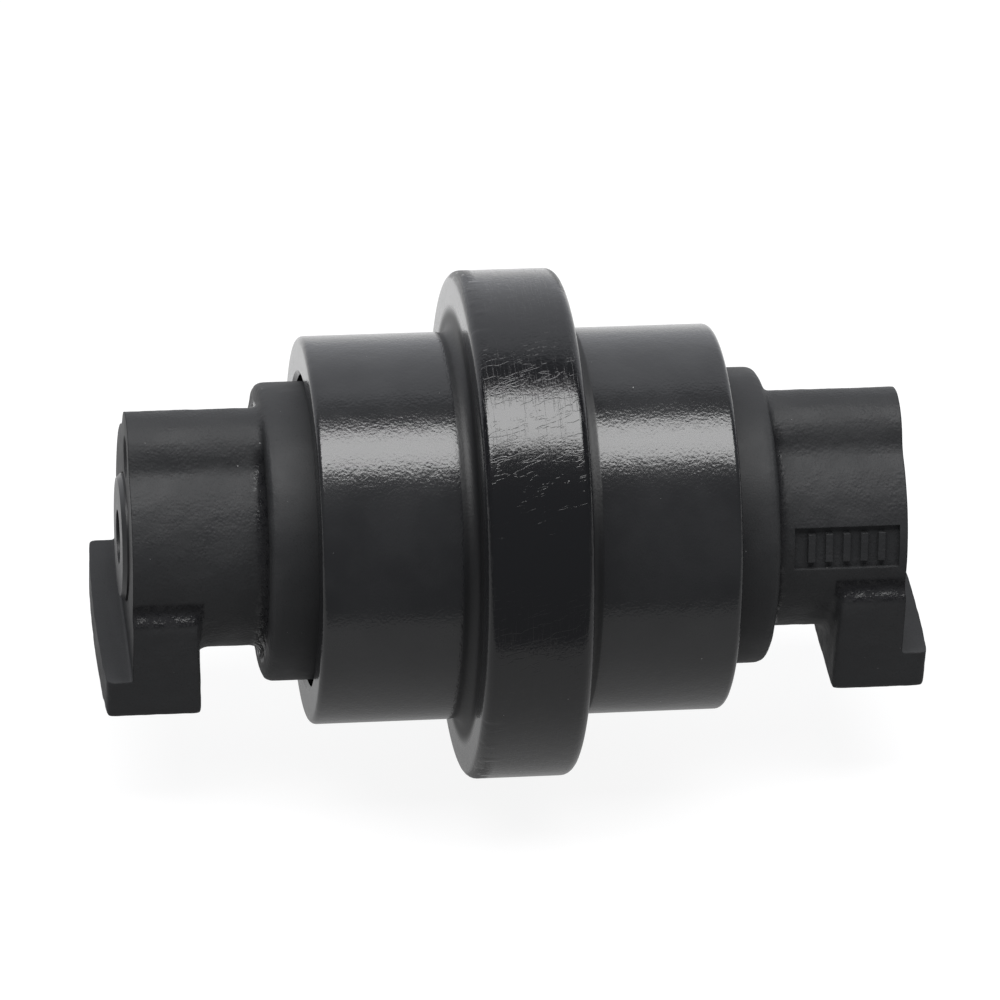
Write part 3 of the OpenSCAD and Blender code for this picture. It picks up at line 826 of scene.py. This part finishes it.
def shell_paint():
    """Hazy satin paint on the treads, smoother and darker on the rim, and dull with painted shade in the
    root.
    """
    material, tree, shader, place = new_material("shell_paint", PAINT_BLACK, 0.24)
    flat = use_group(tree, UNROLLED, Vector=place).outputs[0]
    reach = node(tree, "SeparateXYZ", Vector=flat).outputs["Z"]
    on_rim = ramp(tree, reach, *(flange_r - d for d in RIM_BAND))
    station = math_node(tree, "ABSOLUTE", node(tree, "SeparateXYZ", Vector=place).outputs["Y"])
    # where a tread meets the flange: colour darkened as painted shade, and duller paint
    root_shade_and_dull = math_node(tree, "MULTIPLY",
                        ramp(tree, station, *(flange_end + d for d in ROOT_SHADE_ALONG)),
                        ramp(tree, reach, *(tread_r + d for d in ROOT_SHADE_UP)))
    peel = use_group(tree, ORANGE_PEEL, Vector=place, Scale=SHELL_PEEL).outputs[0]
    rings = use_group(tree, TURNING_RINGS, Vector=flat, Pitch=SHELL_RINGS).outputs[0]
    across = use_group(tree, WRINKLES, Vector=flat, **LINES_ACROSS).outputs[0]
    around = use_group(tree, WRINKLES, Vector=flat, **LINES_AROUND).outputs[0]
    wrinkle = math_node(tree, "MULTIPLY", math_node(tree, "MAXIMUM", across, around), on_rim)
    specks = use_group(tree, DUST, Vector=place, **SHELL_SPECKS).outputs[0]
    cloudy = noise(tree, place, SHELL_CLOUDS, 3.0)
    haze = math_node(tree, "MULTIPLY", math_node(tree, "SUBTRACT", 1.0, on_rim),
                     ramp(tree, cloudy, *PATCHY, HAZE_LEAST, 1.0))
    color = mix_color(tree, haze, PAINT_BLACK, PAINT_HAZE)
    # painted shade: the root beside the flange is darkened to the bare black
    color = mix_color(tree, root_shade_and_dull, color, PAINT_BLACK)
    color = mix_color(tree, specks, color, DUST_GREY)
    tree.links.new(color, shader.inputs["Base Color"])
    satin = math_node(tree, "ADD", ramp(tree, on_rim, 0.0, 1.0, TREAD_ROUGH, RIM_ROUGH),
                      math_node(tree, "MULTIPLY", cloudy, CLOUD_DULL))
    satin = math_node(tree, "ADD", satin, math_node(tree, "MULTIPLY", root_shade_and_dull, ROOT_DULL))
    rough = math_node(tree, "ADD", satin, math_node(tree, "MULTIPLY", specks, SPECK_DULL), clamp=True)
    tree.links.new(rough, shader.inputs["Roughness"])
    grain = math_node(tree, "MULTIPLY", peel, ramp(tree, on_rim, 0.0, 1.0, 1.0, RIM_GRAIN))
    normal = bump(tree, grain, PEEL_HEIGHT)
    normal = bump(tree, rings, RING_HEIGHT, normal=normal)
    normal = bump(tree, math_node(tree, "SUBTRACT", 1.0, wrinkle), WRINKLE_HEIGHT, normal=normal)
    tree.links.new(normal, shader.inputs["Normal"])
    return material


# %% [markdown]
# ## Black paint on the castings
# The same paint lies over a rough skin, so its highlights break up, and its pits carry painted shade. In the
# inside corners and on the foot's ledge the paint is dull and beaded, with a few sparks, and its colour is
# darkened as painted shade. Where the ring was turned and the end face milled, the skin is smooth: the
# material reads the same places from Object coordinates.

# %% Casting paint
CAST_BLACK = (0.0205, 0.021, 0.0222)
CAST_PALE = (0.0245, 0.025, 0.0262)
# the dark colour of painted shade, in the skin's pits and the inside corners
CAST_SHADE = (0.005, 0.005, 0.006)
CAST_GLOSS = 0.21
CAST_ROUGH = (0.5, 0.62)
BEAD_ROUGH, BEAD_SHADE, SPARK_GLOSS = 0.9, 0.8, 0.7
SPARK_LEVELS = (0.49, 0.57)
PIT_SHADE = 0.5
SMOOTHED = 0.9
EDGE_ROUND = 0.35 * MM
SKIN_HEIGHT = 0.13 * MM
CAST_PEEL_HEIGHT = 0.07 * MM
FOOT_TOP_Z = 4.5 * MM
FOOT_TOP_BAND = (4 * MM, 2 * MM)
FOOT_SIDE = (29 * MM, 30.5 * MM)
TURNED_ALONG = (1 * MM, 2 * MM)
TURNED_OUT = (7.5 * MM, 8.5 * MM)
MILLED_ALONG = (0.2 * MM, 0.05 * MM)
MILLED_UP = (0.3 * MM, 0.1 * MM)
SHADE_BEADS_OUT = (6 * MM, 3 * MM)
CAST_GRAIN, CAST_PEEL, CAST_CLOUDS = 1150.0, 2000.0, 90.0
CAST_SPECKS = dict(Scale=330.0, Size=0.06)
BEAD_RELIEF = 3.0


def cast_paint():
    """Dull paint over a pebbled skin, with painted shade in its pits and in the beaded inside corners, and
    smooth where machined.
    """
    material, tree, shader, place = new_material("cast_paint", CAST_BLACK, 0.55)
    shader.inputs["Specular IOR Level"].default_value = CAST_GLOSS
    flat = use_group(tree, UNROLLED, Vector=place).outputs[0]
    parts = node(tree, "SeparateXYZ", Vector=place)
    station = math_node(tree, "ABSOLUTE", parts.outputs["Y"])
    reach = node(tree, "SeparateXYZ", Vector=flat).outputs["Z"]
    turned = math_node(tree, "MULTIPLY", ramp(tree, station, *(ring_out - d for d in TURNED_ALONG)),
                       ramp(tree, reach, *(BODY_R + d for d in TURNED_OUT)))
    milled = math_node(tree, "MULTIPLY", ramp(tree, station, *(end_face - d for d in MILLED_ALONG)),
                       ramp(tree, parts.outputs["Z"], *(ledge_z - d for d in MILLED_UP)))
    smooth = math_node(tree, "MAXIMUM", turned, milled)
    rough_skin = math_node(tree, "SUBTRACT", 1.0, math_node(tree, "MULTIPLY", smooth, SMOOTHED))
    # the inside corner by the ring: colour darkened as painted shade, and dull beaded paint with sparks
    shade_and_beads = math_node(tree, "MULTIPLY", ramp(tree, station, body_in + 1 * MM, ring_out + 1 * MM),
                      ramp(tree, reach, *(BODY_R + d for d in SHADE_BEADS_OUT)))
    # the top of the foot's ledge: colour darkened as painted shade, and dull beaded paint
    above = math_node(tree, "ABSOLUTE", math_node(tree, "ADD", parts.outputs["Z"], FOOT_TOP_Z))
    aside = math_node(tree, "ABSOLUTE", parts.outputs["X"])
    ledge_shade = math_node(tree, "MULTIPLY", ramp(tree, above, *FOOT_TOP_BAND),
                          ramp(tree, aside, *FOOT_SIDE))
    ledge_shade = math_node(tree, "MULTIPLY", ledge_shade, ramp(tree, station, foot_in - 1 * MM, foot_in))
    shade_and_beads = math_node(tree, "MAXIMUM", shade_and_beads, ledge_shade)
    skin = use_group(tree, CAST_SKIN, Vector=place, Scale=CAST_GRAIN)
    peel = use_group(tree, ORANGE_PEEL, Vector=place, Scale=CAST_PEEL).outputs[0]
    specks = use_group(tree, DUST, Vector=place, **CAST_SPECKS).outputs[0]
    cloudy = noise(tree, place, CAST_CLOUDS, 3.0)
    color = mix_color(tree, ramp(tree, cloudy, *PATCHY), CAST_BLACK, CAST_PALE)
    # painted shade: the skin's pits are darkened
    color = mix_color(tree, math_node(tree, "MULTIPLY", skin.outputs["PitShade"], PIT_SHADE), color,
                      CAST_SHADE)
    # painted shade: the inside corners and the foot's ledge are darkened
    color = mix_color(tree, math_node(tree, "MULTIPLY", shade_and_beads, BEAD_SHADE), color, CAST_SHADE)
    color = mix_color(tree, specks, color, DUST_GREY)
    tree.links.new(color, shader.inputs["Base Color"])
    dull = math_node(tree, "MAXIMUM", ramp(tree, cloudy, *PATCHY, *CAST_ROUGH),
                     math_node(tree, "MULTIPLY", shade_and_beads, BEAD_ROUGH))
    sparks = math_node(tree, "MULTIPLY", ramp(tree, peel, *SPARK_LEVELS), shade_and_beads)
    rough = math_node(tree, "SUBTRACT", dull, math_node(tree, "MULTIPLY", sparks, SPARK_GLOSS), clamp=True)
    tree.links.new(rough, shader.inputs["Roughness"])
    height = math_node(tree, "MULTIPLY", skin.outputs["Height"], rough_skin)
    rounded = node(tree, "Bevel", {"samples": 4}, Radius=EDGE_ROUND).outputs[0]
    normal = bump(tree, height, SKIN_HEIGHT, normal=rounded)
    lively = math_node(tree, "ADD", math_node(tree, "MULTIPLY", shade_and_beads, BEAD_RELIEF), 1.0)
    normal = bump(tree, math_node(tree, "MULTIPLY", peel, lively), CAST_PEEL_HEIGHT, normal=normal)
    tree.links.new(normal, shader.inputs["Normal"])
    return material


# %% [markdown]
# ## The metals and rubber inside
# The inner pieces are seen only when the roller is taken apart, but each has its own real finish: ground
# shaft, turned bronze, lapped seal faces, matt rubber, oiled pins and soft copper.

# %% Inner materials
RUBBER_BLACK = (0.016, 0.016, 0.017)
RUBBER_BLOOM = (0.04, 0.04, 0.041)
RUBBER_ROUGH = (0.5, 0.72)
RUBBER_GRAIN = 0.01 * MM
PLUG_ROUGH = (0.28, 0.42)
PAINT_ROUGHER = 0.12
METAL_PEEL_HEIGHT = 0.02 * MM
METAL_RING_HEIGHT = 0.004 * MM
# the darker and lighter colour, the least and greatest roughness, and the pitch of the tool's rings
METALS = {
    "bearing_bronze": ((0.5, 0.31, 0.12), (0.68, 0.46, 0.21), 0.22, 0.4, 1500.0),
    "hard_steel": ((0.48, 0.49, 0.5), (0.62, 0.63, 0.65), 0.12, 0.26, 3200.0),
    "pin_steel": ((0.16, 0.16, 0.18), (0.3, 0.3, 0.32), 0.25, 0.42, 900.0),
    "copper": ((0.58, 0.27, 0.13), (0.75, 0.42, 0.26), 0.25, 0.45, 1500.0),
}
SHAFT_METAL = ((0.36, 0.36, 0.37), (0.5, 0.5, 0.51), 0.18, 0.34, 2600.0)


def metal(name, dark, light, rough_low, rough_high, pitch, paint_from=None):
    """Turned or ground metal: rings round the shaft, patches of oil, and optional paint past a station."""
    material, tree, shader, place = new_material(name, light, rough_high, 1.0)
    flat = use_group(tree, UNROLLED, Vector=place).outputs[0]
    rings = use_group(tree, TURNING_RINGS, Vector=flat, Pitch=pitch).outputs[0]
    oil = noise(tree, place, 60.0, 4.0)
    color = mix_color(tree, ramp(tree, oil, 0.35, 0.65), dark, light)
    rough = ramp(tree, math_node(tree, "MULTIPLY", math_node(tree, "ADD", rings, oil), 0.5), 0.3, 0.7,
                 rough_low, rough_high)
    normal = bump(tree, rings, METAL_RING_HEIGHT)
    if paint_from is not None:
        parts = node(tree, "SeparateXYZ", Vector=place)
        station = math_node(tree, "ABSOLUTE", parts.outputs["Y"])
        edge = math_node(tree, "ADD", station, math_node(tree, "MULTIPLY", oil, 0.4 * MM))
        painted = ramp(tree, edge, paint_from, paint_from + 0.3 * MM)
        peel = use_group(tree, ORANGE_PEEL, Vector=place, Scale=1000.0).outputs[0]
        color = mix_color(tree, painted, color, CAST_BLACK)
        tree.links.new(math_node(tree, "SUBTRACT", 1.0, painted), shader.inputs["Metallic"])
        rough = math_node(tree, "ADD", math_node(tree, "MULTIPLY", painted, PAINT_ROUGHER), rough)
        normal = bump(tree, math_node(tree, "MULTIPLY", peel, painted), METAL_PEEL_HEIGHT, normal=normal)
    tree.links.new(color, shader.inputs["Base Color"])
    tree.links.new(rough, shader.inputs["Roughness"])
    tree.links.new(normal, shader.inputs["Normal"])
    return material


def rubber():
    """Matt moulded rubber with a faint bloom and a fine grain."""
    material, tree, shader, place = new_material("seal_rubber", RUBBER_BLACK, 0.6)
    bloom = noise(tree, place, 140.0, 4.0)
    grain = noise(tree, place, 3000.0, 2.0)
    color = mix_color(tree, ramp(tree, bloom, 0.4, 0.7), RUBBER_BLACK, RUBBER_BLOOM)
    tree.links.new(color, shader.inputs["Base Color"])
    tree.links.new(ramp(tree, bloom, *PATCHY, *RUBBER_ROUGH), shader.inputs["Roughness"])
    tree.links.new(bump(tree, grain, RUBBER_GRAIN), shader.inputs["Normal"])
    return material


def plug_paint():
    """Black painted steel plug."""
    material, tree, shader, place = new_material("plug_paint", PAINT_BLACK, 0.35)
    peel = use_group(tree, ORANGE_PEEL, Vector=place, Scale=1300.0).outputs[0]
    specks = use_group(tree, DUST, Vector=place, Scale=400.0, Size=0.06).outputs[0]
    tree.links.new(mix_color(tree, specks, CAST_BLACK, DUST_GREY), shader.inputs["Base Color"])
    tree.links.new(ramp(tree, peel, *PATCHY, *PLUG_ROUGH), shader.inputs["Roughness"])
    tree.links.new(bump(tree, peel, METAL_PEEL_HEIGHT), shader.inputs["Normal"])
    return material


FINISHES = {
    "shell_paint": shell_paint(),
    "cast_paint": cast_paint(),
    "shaft_steel": metal("shaft_steel", *SHAFT_METAL, end_face - 4 * MM),
    "seal_rubber": rubber(),
    "plug_steel": plug_paint(),
}
for slot_name, values in METALS.items():
    FINISHES[slot_name] = metal(slot_name, *values)
print("finishes:", sorted(FINISHES))

# %% Paint every piece
for part in frame["record"]["subparts"]:
    cad_node = frame["nodes"][part["node"]]
    cad_node.data.materials.clear()
    cad_node.data.materials.append(FINISHES[part["material_slot"]])


def finish_piece(piece, slot, body, *stands_for):
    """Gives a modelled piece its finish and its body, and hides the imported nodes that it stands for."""
    piece.data.materials.clear()
    piece.data.materials.append(FINISHES[slot])
    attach(piece, body)
    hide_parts(*stands_for)


finish_piece(shell, "shell_paint", "roller", "roller_shell")
finish_piece(collar, "cast_paint", "fixed_shaft", "right_end_collar")
finish_piece(left_collar, "cast_paint", "fixed_shaft", "left_end_collar")

# %% [markdown]
# ## Floor and light
# A pale floor under the roller, one long soft box almost overhead, and a white room behind. The front of
# the room is dark, which is what gives the paint its depth: a black surface needs something dark to show.
# The floor glows a little, more behind than in front, as a lit sweep does, and so stays pale in the
# roller's own shadow.

# %% Floor
FLOOR_Z = -flange_r - 0.05 * MM
FLOOR_BACK = 2.6
FLOOR_FRONT = 0.24
FLOOR_WIDTH = 5
FLOOR_GREY = (0.1, 0.1, 0.102)
FLOOR_ROUGH = 0.8
FLOOR_SEEN = 0.9
FLOOR_LIFT_FRONT = 0.42
FLOOR_LIFT_BACK = 1.0
LIFT_BACK_X, LIFT_FRONT_X = -0.25, -0.02
start_clean()
bpy.ops.mesh.primitive_plane_add(size=1, location=((FLOOR_FRONT - FLOOR_BACK) / 2, 0, FLOOR_Z))
floor = bpy.context.object
floor.name = "floor"
floor.scale = (FLOOR_FRONT + FLOOR_BACK, FLOOR_WIDTH, 1)
settle(floor)
floor_material, floor_tree, floor_shader, floor_place = new_material("pale_floor", FLOOR_GREY, FLOOR_ROUGH)
toward_front = node(floor_tree, "SeparateXYZ", Vector=floor_place).outputs["X"]
lift = ramp(floor_tree, toward_front, LIFT_BACK_X, LIFT_FRONT_X, FLOOR_LIFT_BACK, FLOOR_LIFT_FRONT)
seen_directly = node(floor_tree, "LightPath").outputs["Is Camera Ray"]
glow = node(floor_tree, "Mix", {"data_type": "FLOAT"}, i0=seen_directly, i2=lift, i3=FLOOR_SEEN)
floor_shader.inputs["Emission Color"].default_value = (1, 1, 1, 1)
floor_tree.links.new(glow.outputs[0], floor_shader.inputs["Emission Strength"])
floor.data.materials.append(floor_material)

# %% Lights


def soft_box(name, place, target, size, size_y, power):
    """A rectangular light at a place, turned towards a target, its long side along the shaft."""
    data = bpy.data.lights.new(name, "AREA")
    data.shape = "RECTANGLE"
    data.size = size
    data.size_y = size_y
    data.energy = power
    light = bpy.data.objects.new(name, data)
    bpy.context.scene.collection.objects.link(light)
    back = (Vector(place) - Vector(target)).normalized()
    across = Vector((0, 1, 0)).cross(back).normalized()
    turn = Matrix((across, back.cross(across), back)).transposed().to_4x4()
    light.matrix_world = Matrix.Translation(place) @ turn
    return light


KEY_ELEVATION = math.radians(80)
KEY_HEIGHT = 1.0
KEY_ALONG = -0.05
KEY_WIDTH, KEY_LENGTH = 0.46, 1.5
KEY_WATTS = 20.5
key_place = (KEY_HEIGHT / math.tan(KEY_ELEVATION), KEY_ALONG, KEY_HEIGHT)
soft_box("key", key_place, (0, 0, 0), KEY_WIDTH, KEY_LENGTH, KEY_WATTS)
# brightness of the room by direction, from right behind the roller (0) to right in front (1)
ROOM_STOPS = ((0.0, 1.0), (0.16, 1.0), (0.27, 0.1), (0.4, 0.12), (0.6, 0.2), (1.0, 0.25))
ROOM_TINT = (0.97, 0.985, 1.03)


def make_world():
    """White for the camera; for reflections, dark in front and white behind."""
    world = bpy.data.worlds.new("studio")
    world.use_nodes = True
    tree = world.node_tree
    background = tree.nodes["Background"]
    direction = node(tree, "TexCoord").outputs["Generated"]
    front = node(tree, "SeparateXYZ", Vector=direction).outputs["X"]
    room = node(tree, "ValToRGB")
    tree.links.new(ramp(tree, front, -1.0, 1.0), room.inputs[0])
    elements = room.color_ramp.elements
    for _ in range(len(ROOM_STOPS) - 2):
        elements.new(0.5)
    for element, (position, value) in zip(elements, ROOM_STOPS):
        element.position = position
        element.color = (*(value * tint for tint in ROOM_TINT), 1)
    seen = node(tree, "LightPath").outputs["Is Camera Ray"]
    color = mix_color(tree, seen, room.outputs[0], (1.0, 1.0, 1.0))
    tree.links.new(color, background.inputs["Color"])
    return world


bpy.context.scene.world = make_world()
